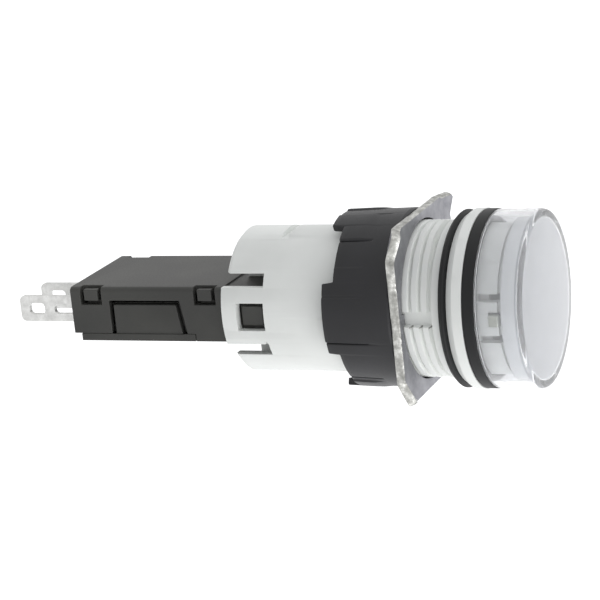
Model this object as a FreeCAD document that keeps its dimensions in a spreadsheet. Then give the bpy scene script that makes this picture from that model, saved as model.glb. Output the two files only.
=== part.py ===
import FreeCAD, Part
import Sketcher
import math
import os
from types import SimpleNamespace
from FreeCAD import Placement, Rotation, Vector

# Panel pilot light for a 16 mm hole: a clear cap on a threaded white head,
# a locking plate and a ring nut behind the panel, and a flat light block
# that snaps into the head's collar and ends in two tags.
# Millimetres. Y runs along the lamp, from the cap (negative) to the tags.
# X is the light block's width, Z its thickness. The origin is the centre of
# the gasket's rear face, where the lamp sits against the panel.

SIZES = [
    # head: flange, neck, thread and collar
    ("neck_radius", 8.0),
    ("neck_length", 0.9),
    ("groove_depth", 0.3),
    ("thread_drop", 0.3),
    ("thread_length", 11.6),
    ("flange_lip", 1.1),
    ("flange_thickness", 1.7),
    ("flange_bevel", 0.5),
    ("flange_bevel_length", 0.7),
    ("nose_wall", 1.0),
    ("keyway_width", 1.5),
    ("keyway_depth", 0.45),
    ("collar_wall", 1.06),
    ("collar_end", 23.2),
    ("collar_bevel", 0.45),
    ("top_notch_place", 17.9),
    ("top_notch_width", 0.8),
    ("top_notch_depth", 0.55),
    # nose under the cap, with two snap tongues
    ("nose_step", 0.5),
    ("nose_length", 3.3),
    ("nose_tip_step", 0.35),
    ("nose_tip_length", 1.1),
    ("nose_slot_place", 1.65),
    ("nose_slot_width", 0.75),
    ("catch_length", 1.25),
    ("catch_width", 1.4),
    ("catch_setback", 0.8),
    ("seat_ledge", 0.6),
    ("seat_depth", 4.6),
    ("seat_thickness", 1.0),
    # rear socket of the collar, with its two latch arms
    ("socket_depth", 9.2),
    ("guide_thickness", 0.9),
    ("guide_web", 0.9),
    ("arm_half_height", 2.98),
    ("arm_length", 4.2),
    ("arm_overhang", 0.4),
    ("slot_height", 1.3),
    ("slot_reach", 4.6),
    ("window_length", 3.0),
    ("window_height", 2.9),
    ("relief_height", 0.45),
    ("relief_length", 0.45),
    # seals
    ("gasket_lip", 1.0),
    ("gasket_front_slope", 0.3),
    ("gasket_rear_slope", 0.4),
    ("gasket_thickness", 0.85),
    ("gasket_clearance", 0.05),
    ("gasket_bevel", 0.35),
    ("cap_seal_setback", 0.05),
    ("cap_seal_clearance", 0.1),
    ("cap_seal_thickness", 1.25),
    # clear cap and frosted diffuser
    ("cap_setback", 0.1),
    ("cap_length", 4.75),
    ("cap_wall", 0.85),
    ("cap_front", 0.6),
    ("cap_rise", 0.45),
    ("cap_round", 0.5),
    ("cap_lug_bite", 0.3),
    ("cap_lug_clearance", 0.12),
    ("diffuser_clearance", 0.05),
    ("diffuser_thickness", 0.7),
    ("diffuser_wall", 0.5),
    ("diffuser_skirt", 1.0),
    # locking plate and ring nut
    ("plate_gap", 3.9),
    ("plate_thickness", 0.9),
    ("plate_margin", 1.1),
    ("plate_corner", 1.5),
    ("plate_fold_angle", 34.0),
    ("plate_tip", 0.3),
    ("plate_hole_clearance", 0.3),
    ("tongue_width", 1.3),
    ("tongue_clearance", 0.15),
    ("thread_clearance", 0.06),
    ("nut_length", 7.3),
    ("nut_wall", 1.34),
    ("nut_front_length", 2.5),
    ("nut_tooth_depth", 1.15),
    ("nut_side_tooth", 49.0),
    ("nut_top_tooth", 44.0),
    ("nut_side_land", 30.0),
    ("nut_top_land", 28.0),
    ("nut_top_land_place", 69.0),
    ("nut_land_rise", 0.16),
    ("nut_bevel", 0.3),
    # light block: cover and base
    ("block_width", 13.2),
    ("block_height", 5.75),
    ("block_gap", 0.1),
    ("block_length", 17.4),
    ("block_round", 0.5),
    ("block_wall", 0.8),
    ("shoulder_width", 12.4),
    ("shoulder_height", 5.4),
    ("shoulder_gap", 0.3),
    ("shoulder_split", 1.3),
    ("socket_clearance", 0.05),
    ("snap_nub_length", 2.3),
    ("snap_nub_height", 2.0),
    ("snap_nub_rise", 0.7),
    ("rim_height", 0.8),
    ("rim_step", 0.8),
    ("apron_length", 3.5),
    ("lip_clearance", 0.05),
    ("lip_thickness", 0.7),
    ("lip_height", 3.1),
    ("lip_setback", 0.5),
    ("hook_rear_setback", 4.85),
    ("hook_front_setback", 4.95),
    ("hook_slope", 0.5),
    ("hook_top", 1.0),
    ("hook_gap", 0.45),
    ("nub_length", 1.6),
    ("nub_height", 1.2),
    ("nub_drop", 0.25),
    ("nub_gap", 0.4),
    ("nub_rear_setback", 2.35),
    ("nub_front_setback", 2.1),
    # circuit board and what it carries
    ("board_thickness", 1.0),
    ("board_width", 10.0),
    ("board_rear_setback", 4.5),
    ("board_neck_width", 7.6),
    ("board_neck_setback", 1.2),
    ("board_front", 0.4),
    ("ledge_width", 0.8),
    ("led_radius", 2.5),
    ("led_length", 5.2),
    ("led_rim_radius", 2.9),
    ("led_rim_thickness", 1.0),
    ("lead_width", 0.5),
    ("lead_spacing", 2.54),
    ("lead_length", 3.2),
    ("reflector_clearance", 0.1),
    ("reflector_thickness", 0.7),
    ("reflector_depth", 2.4),
    ("reflector_rim", 0.4),
    ("reflector_slope", 0.9),
    ("resistor_radius", 0.7),
    ("resistor_length", 3.6),
    ("resistor_spacing", 2.6),
    ("resistor_setback", 4.1),
    ("resistor_lead", 1.0),
    ("rectifier_length", 4.7),
    ("rectifier_width", 3.9),
    ("rectifier_height", 1.4),
    ("rectifier_setback", 9.5),
    ("capacitor_length", 3.5),
    ("capacitor_width", 2.8),
    ("capacitor_height", 1.3),
    ("capacitor_setback", 2.3),
    ("diode_length", 2.6),
    ("diode_width", 1.6),
    ("diode_height", 1.1),
    ("diode_setback", 4.0),
    ("chip_bevel", 0.22),
    # tags
    ("tag_spacing", 5.0),
    ("tag_width", 2.8),
    ("tag_thickness", 0.5),
    ("tag_reach", 8.2),
    ("tag_root", 3.5),
    ("tag_drop", 0.55),
    ("tag_round", 0.6),
    ("tag_hole_setback", 1.1),
    ("tag_hole_length", 1.8),
    ("tag_hole_height", 1.2),
    ("tag_slot_setback", 4.1),
    ("tag_slot_length", 2.6),
    ("tag_slot_height", 1.1),
    ("tag_hole_round", 0.4),
    ("tag_shank_height", 1.6),
    ("tag_shank_length", 4.0),
    ("tag_clearance", 0.05),
]

SHEET = "Sizes"
# how far a joined feature runs into its neighbour, a cutter past the face it opens,
# and the box that picks out an edge past its ends
OVERLAP = 0.2
PAST = 1.0
EDGE_ROOM = 0.1


class Linked:
    """A number together with the sheet expression that gives it."""

    def __init__(self, value, text):
        self.value = value
        self.text = text

    def __add__(self, other):
        other = linked(other)
        return Linked(self.value + other.value, f"({self.text} + {other.text})")

    def __sub__(self, other):
        other = linked(other)
        return Linked(self.value - other.value, f"({self.text} - {other.text})")

    def __mul__(self, other):
        other = linked(other)
        return Linked(self.value * other.value, f"({self.text} * {other.text})")

    def __truediv__(self, other):
        other = linked(other)
        return Linked(self.value / other.value, f"({self.text} / {other.text})")

    def __radd__(self, other):
        return linked(other) + self

    def __rsub__(self, other):
        return linked(other) - self

    def __rmul__(self, other):
        return linked(other) * self

    def __neg__(self):
        return Linked(-self.value, f"(-1 * {self.text})")


def linked(number):
    return number if isinstance(number, Linked) else Linked(float(number), f"{number:.6f}")


def cosine(angle):
    return Linked(math.cos(math.radians(angle.value)), f"cos({angle.text})")


def sine(angle):
    return Linked(math.sin(math.radians(angle.value)), f"sin({angle.text})")


def inverse_sine(share):
    return Linked(math.degrees(math.asin(share.value)), f"asin({share.text})")


def other_leg(longest, leg):
    """The second short side of a right-angled triangle."""
    square = longest * longest - leg * leg
    return Linked(math.sqrt(square.value), f"sqrt({square.text})")


doc = FreeCAD.newDocument("pilot_light")
sheet = doc.addObject("Spreadsheet::Sheet", SHEET)
for row, (name, number) in enumerate(SIZES, start=1):
    sheet.set(f"A{row}", name)
    sheet.set(f"B{row}", f"{number}")
    sheet.setAlias(f"B{row}", name)
doc.recompute()
s = SimpleNamespace(**{name: Linked(number, f"{SHEET}.{name}") for name, number in SIZES})
ZERO = linked(0.0)


# helpers that tie features to the sheet


def bind(feature, path, length):
    feature.setExpression(path, linked(length).text)


def place(feature, x, y, z):
    for axis, length in (("x", x), ("y", y), ("z", z)):
        bind(feature, f"Placement.Base.{axis}", length)


def new_body(label):
    body = doc.addObject("PartDesign::Body", label)
    body.Label = label
    return body


def new_sketch(body, name, role, height=ZERO):
    """A sketch on one of the body's own planes, lifted along that plane's normal."""
    sketch = body.newObject("Sketcher::SketchObject", name)
    plane = next(part for part in body.Origin.OriginFeatures if part.Role == role)
    sketch.AttachmentSupport = [(plane, "")]
    sketch.MapMode = "FlatFace"
    bind(sketch, "AttachmentOffset.Base.z", height)
    return sketch


def add_outline(sketch, points):
    """A closed run of straight lines whose corners are all tied to the sheet."""
    first = sketch.GeometryCount
    corners = [(linked(across), linked(up)) for across, up in points]
    spots = [Vector(across.value, up.value, 0) for across, up in corners]
    count = len(spots)
    for index, spot in enumerate(spots):
        sketch.addGeometry(Part.LineSegment(spot, spots[(index + 1) % count]), False)
    for index in range(count):
        following = first + (index + 1) % count
        sketch.addConstraint(Sketcher.Constraint("Coincident", first + index, 2, following, 1))
    for index, (across, up) in enumerate(corners):
        for kind, length in (("DistanceX", across), ("DistanceY", up)):
            rule = Sketcher.Constraint(kind, -1, 1, first + index, 1, length.value)
            bind(sketch, f"Constraints[{sketch.addConstraint(rule)}]", length)


def turned(body, kind, name, points):
    """Turn a profile of (radius, y) corners about the lamp's axis."""
    sketch = new_sketch(body, name + "_profile", "XY_Plane")
    add_outline(sketch, points)
    feature = body.newObject(f"PartDesign::{kind}", name)
    feature.Profile = sketch
    feature.ReferenceAxis = (sketch, ["V_Axis"])
    feature.Angle = 360
    return feature


def extruded(body, kind, name, role, height, length, points, backwards=False):
    """Pad or pocket an outline drawn on one of the body's planes."""
    sketch = new_sketch(body, name + "_outline", role, height)
    add_outline(sketch, points)
    feature = body.newObject(f"PartDesign::{kind}", name)
    feature.Profile = sketch
    feature.Reversed = backwards
    bind(feature, "Length", length)
    return feature


def block(body, kind, name, x, y, z):
    """An Additive or Subtractive box between the given pairs of faces."""
    feature = body.newObject(f"PartDesign::{kind}Box", name)
    spans = [(linked(low), linked(high)) for low, high in (x, y, z)]
    for path, (low, high) in zip(("Length", "Width", "Height"), spans):
        bind(feature, path, high - low)
    place(feature, *(low for low, high in spans))
    return feature


def add_box(body, name, x, y, z):
    return block(body, "Additive", name, x, y, z)


def cut_box(body, name, x, y, z):
    return block(body, "Subtractive", name, x, y, z)


def about(half, middle=ZERO):
    """The pair of faces that lie half either side of the middle."""
    return (middle - half, middle + half)


def mirrored(first, second, low, high):
    """A span between two faces and the same span on the other side of the middle."""
    return ((first, (-high, -low)), (second, (low, high)))


def sides(low, high):
    return mirrored("left", "right", linked(low), linked(high))


def levels(low, high):
    return mirrored("low", "top", linked(low), linked(high))


def dress(body, kind, name, path, length, test):
    """Fillet or chamfer the body's edges that pass a test."""
    doc.recompute()
    base = body.Tip
    edges = [f"Edge{index}" for index, edge in enumerate(base.Shape.Edges, start=1) if test(edge)]
    feature = body.newObject(f"PartDesign::{kind}", name)
    feature.Base = (base, edges)
    bind(feature, path, length)
    return feature


def edge_across(middle, y, z):
    """A test for the straight edges along X, about this place, whose ends lie in the given span."""
    x = about(PAST, middle)
    low, high = ([span[end].value for span in (x, y, z)] for end in (0, 1))
    room = FreeCAD.BoundBox(*low, *high)
    room.enlarge(EDGE_ROOM)

    def test(edge):
        if edge.Curve.TypeId != "Part::GeomLine":
            return False
        along = edge.tangentAt(edge.FirstParameter)
        return abs(abs(along.x) - 1) < 1e-6 and room.isInside(edge.CenterOfMass)
    return test


def lay_cylinder(cylinder, radius, y, x=ZERO, z=ZERO, turn=0.0):
    """Lay a cylinder along the lamp between two places, turned about its own axis."""
    low, high = linked(y[0]), linked(y[1])
    bind(cylinder, "Radius", radius)
    bind(cylinder, "Height", high - low)
    upright = Rotation(Vector(1, 0, 0), -90)
    cylinder.Placement = Placement(Vector(), Rotation(Vector(0, -1, 0), turn).multiply(upright))
    place(cylinder, x, low, z)
    return cylinder


def rod(name, radius, y, x=ZERO, z=ZERO):
    return lay_cylinder(doc.addObject("Part::Cylinder", name), radius, y, x, z)


def bore(body, name, radius, y):
    return lay_cylinder(body.newObject("PartDesign::SubtractiveCylinder", name), radius, y)


def wedge(body, kind, name, radius, y, start, sweep):
    """A sector of a cylinder about the lamp's axis, its start angle measured from +X towards +Z."""
    feature = body.newObject(f"PartDesign::{kind}Cylinder", name)
    lay_cylinder(feature, radius, y, turn=(start + sweep).value)
    bind(feature, "Angle", sweep)
    return feature


def brick(name, x, y, z):
    solid = doc.addObject("Part::Box", name)
    spans = [(linked(low), linked(high)) for low, high in (x, y, z)]
    for path, (low, high) in zip(("Length", "Width", "Height"), spans):
        bind(solid, path, high - low)
    place(solid, *(low for low, high in spans))
    return solid


def joined(label, pieces):
    union = doc.addObject("Part::MultiFuse", label)
    union.Shapes = pieces
    union.Refine = True
    union.Label = label
    return union


# radii about the lamp's axis, worked out from the neck that fits the panel's hole
thread_radius = s.neck_radius - s.thread_drop
groove_radius = s.neck_radius - s.groove_depth
flange_radius = s.neck_radius + s.flange_lip
bevel_radius = flange_radius - s.flange_bevel
nose_radius = s.neck_radius - s.nose_step
nose_tip_radius = nose_radius - s.nose_tip_step
bore_radius = nose_radius - s.nose_wall
collar_radius = bore_radius + s.collar_wall
seat_radius = bore_radius - s.seat_ledge
gasket_radius = s.neck_radius + s.gasket_lip
cap_seal_radius = flange_radius - s.cap_seal_setback
cap_seal_bore = nose_radius + s.cap_seal_clearance
cap_radius = flange_radius - s.cap_setback
cap_inside = cap_radius - s.cap_wall
plate_half = s.neck_radius + s.plate_margin
plate_fold = plate_half + s.plate_corner
plate_hole = s.neck_radius + s.plate_hole_clearance
nut_bore = thread_radius + s.thread_clearance
nut_radius = nut_bore + s.nut_wall

# places along the lamp that several pieces share
gasket_front = -s.gasket_thickness
flange_front = gasket_front - s.flange_thickness
seal_front = flange_front - s.cap_seal_thickness
cap_rim = seal_front - s.cap_length
diffuser_front = cap_rim + s.cap_front
nose_shoulder = flange_front - s.nose_length
nose_front = nose_shoulder - s.nose_tip_length
nose_seat = nose_front + s.seat_depth
catch_front = nose_front + s.catch_setback
thread_end = s.neck_length + s.thread_length
slot_front = s.collar_end - s.arm_length
arm_end = s.collar_end + s.arm_overhang
socket_front = s.collar_end - s.socket_depth
plate_rear = s.plate_gap + s.plate_thickness
nut_rear = plate_rear + s.nut_length
shoulder_front = socket_front + s.shoulder_gap
block_front = arm_end + s.block_gap
block_rear = block_front + s.block_length
hook_front = block_front + s.hook_front_setback
hook_rear = block_rear - s.hook_rear_setback
board_neck_rear = shoulder_front + s.board_neck_setback
board_rear = block_rear - s.board_rear_setback
capacitor_place = block_front - s.capacitor_setback
diode_place = capacitor_place - s.diode_setback
resistor_place = block_front + s.resistor_setback
rectifier_place = block_front + s.rectifier_setback
tag_front = block_rear - s.tag_root
tag_end = block_rear + s.tag_reach
tag_hole_end = tag_end - s.tag_hole_setback
tag_slot_end = tag_end - s.tag_slot_setback
NUB_PLACES = (("rear", block_rear - s.nub_rear_setback), ("front", block_front + s.nub_front_setback))

# widths and heights of the light block and its socket
socket_half_width = s.shoulder_width / 2 + s.socket_clearance
socket_half_height = s.shoulder_height / 2 + s.socket_clearance
block_half = s.block_width / 2
block_top = s.block_height / 2
rim_top = -block_top + s.rim_height
hollow_half = block_half - s.block_wall
shoulder_half = s.shoulder_width / 2
shoulder_top = s.shoulder_height / 2
lip_outside = hollow_half - s.lip_clearance
lip_inside = lip_outside - s.lip_thickness
nub_top = block_top - s.nub_drop
board_top = s.board_thickness / 2
tag_half = s.tag_thickness / 2
tag_middle = -s.tag_drop

# the turns that round the cap's front edge, and the crown's corners as shares of its radius
EDGE_TURNS = (0, 45, 90)
CROWN_SHARES = (0.66, 0.33, 0.0)


def make_head():
    """White moulding: nose under the cap, flange, neck, threaded stretch and collar."""
    head = new_body("head_body")
    turned(head, "Revolution", "head_wall", [
        (bore_radius, nose_front),
        (nose_tip_radius, nose_front),
        (nose_tip_radius, nose_shoulder),
        (nose_radius, nose_shoulder),
        (nose_radius, flange_front),
        (flange_radius, flange_front),
        (flange_radius, gasket_front - s.flange_bevel_length),
        (bevel_radius, gasket_front),
        (groove_radius, gasket_front),
        (groove_radius, ZERO),
        (s.neck_radius, ZERO),
        (s.neck_radius, s.neck_length),
        (thread_radius, s.neck_length),
        (thread_radius, thread_end),
        (collar_radius, thread_end),
        (collar_radius, s.collar_end - s.collar_bevel),
        (collar_radius - s.collar_bevel, s.collar_end),
        (bore_radius, s.collar_end),
    ])
    turned(head, "Revolution", "reflector_seat", [
        (seat_radius, nose_seat),
        (bore_radius + OVERLAP, nose_seat),
        (bore_radius + OVERLAP, nose_seat + s.seat_thickness),
        (seat_radius, nose_seat + s.seat_thickness),
    ])
    make_nose_tongues(head)
    make_guides(head)
    make_latch_arms(head)
    cut_box(head, "keyway", (-s.neck_radius - PAST, -thread_radius + s.keyway_depth),
            (s.neck_length, thread_end), about(s.keyway_width / 2))
    cut_box(head, "top_notch", about(collar_radius), about(s.top_notch_width / 2, s.top_notch_place),
            (collar_radius - s.top_notch_depth, collar_radius + PAST))
    return head


def make_nose_tongues(head):
    """Two tongues in the nose's rim, each with a catch for one of the cap's lugs."""
    for side, span in sides(seat_radius, nose_radius + PAST):
        for level, gap in levels(s.nose_slot_place, s.nose_slot_place + s.nose_slot_width):
            cut_box(head, f"nose_slot_{level}_{side}", span, (nose_front - PAST, seal_front), gap)
        cut_box(head, f"catch_{side}", span, (catch_front, catch_front + s.catch_length),
                about(s.catch_width / 2))


def make_guides(head):
    """Guides across the collar that hold the flat light block, each on a middle web."""
    rear = s.collar_end - s.collar_bevel
    reach = other_leg(bore_radius, socket_half_height) + OVERLAP
    for level, span in levels(socket_half_height, socket_half_height + s.guide_thickness):
        add_box(head, f"guide_{level}", about(reach), (socket_front, rear), span)
    for level, span in levels(socket_half_height + s.guide_thickness - OVERLAP, bore_radius + OVERLAP):
        add_box(head, f"web_{level}", about(s.guide_web / 2), (socket_front, rear), span)
    cut_box(head, "socket", about(socket_half_width), (socket_front, s.collar_end + PAST),
            about(socket_half_height))


def make_latch_arms(head):
    """Spring arms left and right, freed by slots and pierced by a square window."""
    inside = socket_half_width - s.slot_reach
    outside = collar_radius + PAST
    slot = (slot_front, arm_end + PAST)
    sweep = 2 * inverse_sine((s.arm_half_height + s.slot_height / 2) / collar_radius)
    for side, middle in (("right", 0), ("left", 180)):
        wedge(head, "Additive", f"arm_{side}", collar_radius,
              (s.collar_end - s.collar_bevel, arm_end), middle - sweep / 2, sweep)
    cut_box(head, "arm_gap", about(socket_half_width), (s.collar_end - s.collar_bevel, arm_end + PAST),
            about(socket_half_height))
    for side, span in sides(inside, outside):
        for level, gap in levels(s.arm_half_height, s.arm_half_height + s.slot_height):
            cut_box(head, f"slot_{level}_{side}", span, slot, gap)
        cut_box(head, f"window_{side}", span, (slot_front, slot_front + s.window_length),
                about(s.window_height / 2))
    for side, span in sides(inside, socket_half_width):
        cut_box(head, f"arm_room_{side}", span, slot, about(s.arm_half_height + OVERLAP))
    for side, turn in (("left", -1), ("right", 1)):
        foot = s.arm_half_height * turn
        extruded(head, "Pocket", f"relief_{side}", "YZ_Plane", ZERO, outside, [
            (slot_front, foot + OVERLAP * turn),
            (slot_front + s.relief_length, foot + OVERLAP * turn),
            (slot_front + s.relief_length / 2, foot - s.relief_height * turn),
        ], backwards=turn > 0)


def make_gasket():
    """Rubber ring held in the groove between the flange and the neck, bevelled to slip on."""
    gasket = new_body("panel_gasket")
    turned(gasket, "Revolution", "gasket_ring", [
        (groove_radius + s.gasket_clearance, gasket_front),
        (bevel_radius, gasket_front),
        (gasket_radius, gasket_front + s.gasket_front_slope),
        (gasket_radius, -s.gasket_rear_slope),
        (gasket_radius - s.gasket_rear_slope, ZERO),
        (s.neck_radius + s.gasket_clearance, ZERO),
        (groove_radius + s.gasket_clearance, -s.gasket_bevel),
    ])
    return gasket


def make_cap_seal():
    """Rubber ring between the flange and the clear cap."""
    seal = new_body("cap_seal")
    turned(seal, "Revolution", "seal_ring", [
        (cap_seal_bore, seal_front),
        (cap_seal_radius, seal_front),
        (cap_seal_radius, flange_front),
        (cap_seal_bore, flange_front),
    ])
    return seal


def make_lens_cap():
    """Clear moulded cap with a slightly crowned front and two inner lugs."""
    cap = new_body("lens_cap")
    crown = cap_radius - s.cap_round
    edge = [(crown + s.cap_round * cosine(linked(turn)), cap_rim + s.cap_round * (1 - sine(linked(turn))))
            for turn in EDGE_TURNS]
    turned(cap, "Revolution", "cap_cup", [
        (cap_inside, seal_front),
        (cap_radius, seal_front),
        *edge,
        *[(crown * share, cap_rim - s.cap_rise * (1 - share * share)) for share in CROWN_SHARES],
        (ZERO, diffuser_front),
        (cap_inside, diffuser_front),
    ])
    lug_half = s.catch_width / 2 - s.cap_lug_clearance
    lug = (catch_front + s.cap_lug_clearance, catch_front + s.catch_length - s.cap_lug_clearance)
    for side, span in sides(nose_radius - s.cap_lug_bite, cap_inside + OVERLAP):
        add_box(cap, f"lug_{side}", span, lug, about(lug_half))
    return cap


def make_diffuser():
    """Frosted disc with a short skirt, pushed into the cap behind its front."""
    diffuser = new_body("diffuser")
    outside = cap_inside - s.diffuser_clearance
    disc_rear = diffuser_front + s.diffuser_thickness
    turned(diffuser, "Revolution", "diffuser_cup", [
        (ZERO, diffuser_front),
        (outside, diffuser_front),
        (outside, disc_rear + s.diffuser_skirt),
        (outside - s.diffuser_wall, disc_rear + s.diffuser_skirt),
        (outside - s.diffuser_wall, disc_rear),
        (ZERO, disc_rear),
    ])
    return diffuser


def make_reflector():
    """White dish that sits on the ring inside the nose, round the light source."""
    reflector = new_body("reflector")
    outside = bore_radius - s.reflector_clearance
    hole = s.led_radius + s.reflector_clearance
    floor = nose_seat - s.reflector_thickness
    turned(reflector, "Revolution", "reflector_dish", [
        (hole, nose_seat),
        (outside, nose_seat),
        (outside, nose_seat - s.reflector_depth),
        (outside - s.reflector_rim, nose_seat - s.reflector_depth),
        (outside - s.reflector_rim - s.reflector_slope, floor),
        (hole, floor),
    ])
    return reflector


def make_locking_plate():
    """Square zinc plate with a keyed hole and four corners folded towards the panel."""
    plate = new_body("locking_plate")
    side = plate_half
    fold = plate_fold * math.sqrt(2) - side
    extruded(plate, "Pad", "flat", "XZ_Plane", -s.plate_gap, s.plate_thickness, [
        (side, -fold), (side, fold), (fold, side), (-fold, side),
        (-side, fold), (-side, -fold), (-fold, -side), (fold, -side),
    ], backwards=True)
    corner = side * math.sqrt(2) - plate_fold
    tip = s.plate_tip
    tab = extruded(plate, "Pad", "folded_corner", "XZ_Plane", -plate_rear, s.plate_thickness, [
        (-corner, ZERO), (corner, ZERO), (tip, corner - tip), (-tip, corner - tip),
    ])
    across = Rotation(Vector(0, 0, 1), -45)
    lean = Rotation(Vector(1, 0, 0), s.plate_fold_angle.value)
    outline = tab.Profile[0]
    outline.AttachmentOffset = Placement(Vector(), across.multiply(lean))
    for axis in ("x", "y"):
        bind(outline, f"AttachmentOffset.Base.{axis}", plate_fold * math.sqrt(0.5))
    bind(outline, "AttachmentOffset.Base.z", -plate_rear)
    corners = plate.newObject("PartDesign::PolarPattern", "four_corners")
    corners.Originals = [tab]
    corners.Axis = (plate.getObject("flat_outline"), ["N_Axis"])
    corners.Angle = 360
    corners.Occurrences = 4
    plate.Tip = corners
    bore(plate, "hole", plate_hole, (s.plate_gap - PAST, plate_rear + PAST))
    key_floor = thread_radius - s.keyway_depth + s.tongue_clearance
    add_box(plate, "tongue", (-plate_hole - OVERLAP, -key_floor), (s.plate_gap, plate_rear),
            about(s.tongue_width / 2))
    return plate


def make_nut():
    """Ring nut with four rear teeth and shallow grip lands."""
    nut = new_body("fixing_nut")
    turned(nut, "Revolution", "ring", [
        (collar_radius, plate_rear),
        (nut_radius - s.nut_bevel, plate_rear),
        (nut_radius, plate_rear + s.nut_bevel),
        (nut_radius, nut_rear),
        (collar_radius, nut_rear),
    ])
    grip = (plate_rear + s.nut_front_length, nut_rear)
    land_radius = nut_radius + s.nut_land_rise
    place_on_top = s.nut_top_land_place
    lands = [(middle, s.nut_side_land) for middle in (ZERO, linked(180))]
    lands += [(middle, s.nut_top_land) for middle in (place_on_top, 180 - place_on_top,
                                                      180 + place_on_top, -place_on_top)]
    for index, (middle, sweep) in enumerate(lands):
        wedge(nut, "Additive", f"land_{index}", land_radius, grip, middle - sweep / 2, sweep)
    bore(nut, "threaded_bore", nut_bore, (plate_rear - PAST, nut_rear + PAST))
    side_half = s.nut_side_tooth / 2
    top_half = s.nut_top_tooth / 2
    gap = 90 - side_half - top_half
    teeth = (nut_rear - s.nut_tooth_depth, nut_rear + PAST)
    for index, start in enumerate((side_half, 90 + top_half, 180 + side_half, 270 + top_half)):
        wedge(nut, "Subtractive", f"tooth_gap_{index}", land_radius + PAST, teeth, start, gap)
    return nut


def make_block_cover():
    """Black upper half of the light block, with notches for the base's nubs and hooks."""
    cover = new_body("block_cover")
    add_box(cover, "cover_shell", about(block_half), (block_front, block_rear), (rim_top, block_top))
    dress(cover, "Fillet", "rounded_sides", "Radius", s.block_round,
          lambda edge: edge.Length > s.block_length.value - EDGE_ROOM
          and edge.CenterOfMass.z > block_top.value - EDGE_ROOM)
    add_box(cover, "shoulder_lid", about(shoulder_half), (shoulder_front, block_front),
            (s.shoulder_split, shoulder_top))
    for side, span in sides(hollow_half, block_half):
        add_box(cover, f"apron_{side}", span, (block_front, block_front + s.apron_length),
                (-block_top, rim_top + OVERLAP))
    cut_box(cover, "main_hollow", about(hollow_half), (block_front, block_rear - s.block_wall),
            (rim_top - PAST, block_top - s.block_wall))
    cut_box(cover, "lid_hollow", about(shoulder_half - s.block_wall),
            (shoulder_front - PAST, block_front + PAST), (rim_top, shoulder_top - s.block_wall))
    low = rim_top - PAST
    high = s.hook_top + s.hook_gap
    lean = s.hook_slope * (high - low) / (s.hook_top - rim_top)
    rear = hook_rear + s.hook_gap
    front = hook_front + s.hook_slope - s.hook_gap
    for side, turn in (("left", False), ("right", True)):
        extruded(cover, "Pocket", f"hook_opening_{side}", "YZ_Plane", ZERO, block_half + PAST,
                 [(front - lean, low), (rear, low), (rear, high), (front, high)], backwards=turn)
    half = s.nub_length / 2 + s.nub_gap
    for side, span in sides(hollow_half - OVERLAP, block_half + PAST):
        for name, middle in NUB_PLACES:
            cut_box(cover, f"{name}_notch_{side}", span, about(half, middle),
                    (nub_top - s.nub_height - s.nub_gap, block_top + PAST))
    for side, middle in (("left", -s.tag_spacing / 2), ("right", s.tag_spacing / 2)):
        cut_box(cover, f"tag_slot_{side}", about(tag_half + s.tag_clearance, middle),
                (block_rear - s.block_wall - PAST, block_rear + PAST),
                (rim_top - PAST, tag_middle + s.tag_width / 2 + s.tag_clearance))
    return cover


def make_block_base():
    """Black lower half: floor, shoulder that enters the collar, lips, hooks and nubs."""
    base = new_body("block_base")
    add_box(base, "floor", about(block_half), (block_front, block_rear - s.rim_step), (-block_top, rim_top))
    add_box(base, "shoulder", about(shoulder_half), (shoulder_front, block_front),
            (-shoulder_top, s.shoulder_split))
    cut_box(base, "shoulder_hollow", about(shoulder_half - s.block_wall),
            (shoulder_front - PAST, block_front), (-shoulder_top + s.block_wall, s.shoulder_split + PAST))
    apron_rear = block_front + s.apron_length + s.lip_clearance
    for side, span in sides(lip_outside, block_half + PAST):
        cut_box(base, f"apron_room_{side}", span, (block_front, apron_rear),
                (-block_top - PAST, rim_top + PAST))
    lip_rear = block_rear - s.block_wall - s.lip_setback
    lip_foot = rim_top - OVERLAP
    for side, span in sides(lip_inside, lip_outside):
        add_box(base, f"lip_{side}", span, (block_front, lip_rear), (lip_foot, rim_top + s.lip_height))
        for name, middle in NUB_PLACES:
            add_box(base, f"{name}_arm_{side}", span, about(s.nub_length / 2, middle),
                    (lip_foot, block_top - s.block_wall - s.lip_clearance))
    for side, span in sides(lip_inside, block_half - s.lip_clearance):
        for name, middle in NUB_PLACES:
            add_box(base, f"{name}_nub_{side}", span, about(s.nub_length / 2, middle),
                    (nub_top - s.nub_height, block_top - s.block_wall - s.lip_clearance))
    for side, span in sides(hollow_half + s.lip_clearance, block_half - s.lip_clearance):
        for name, middle in NUB_PLACES:
            add_box(base, f"{name}_nub_head_{side}", span, about(s.nub_length / 2, middle),
                    (nub_top - s.nub_height, nub_top))
    for side, turn in (("left", True), ("right", False)):
        start = lip_inside * (-1 if turn else 1)
        extruded(base, "Pad", f"hook_{side}", "YZ_Plane", start, block_half - s.lip_clearance - lip_inside, [
            (hook_front, lip_foot), (hook_rear, lip_foot),
            (hook_rear, s.hook_top), (hook_front + s.hook_slope, s.hook_top),
        ], backwards=turn)
    for side, span in sides(lip_inside - s.ledge_width, lip_inside + OVERLAP):
        add_box(base, f"ledge_{side}", span, (block_front, board_rear), (lip_foot, -board_top))
    nub = (slot_front + (s.window_length - s.snap_nub_length) / 2,
           slot_front + (s.window_length + s.snap_nub_length) / 2)
    for side, span in sides(shoulder_half - OVERLAP, shoulder_half + s.snap_nub_rise):
        add_box(base, f"snap_nub_{side}", span, nub, about(s.snap_nub_height / 2))
    return base


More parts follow.
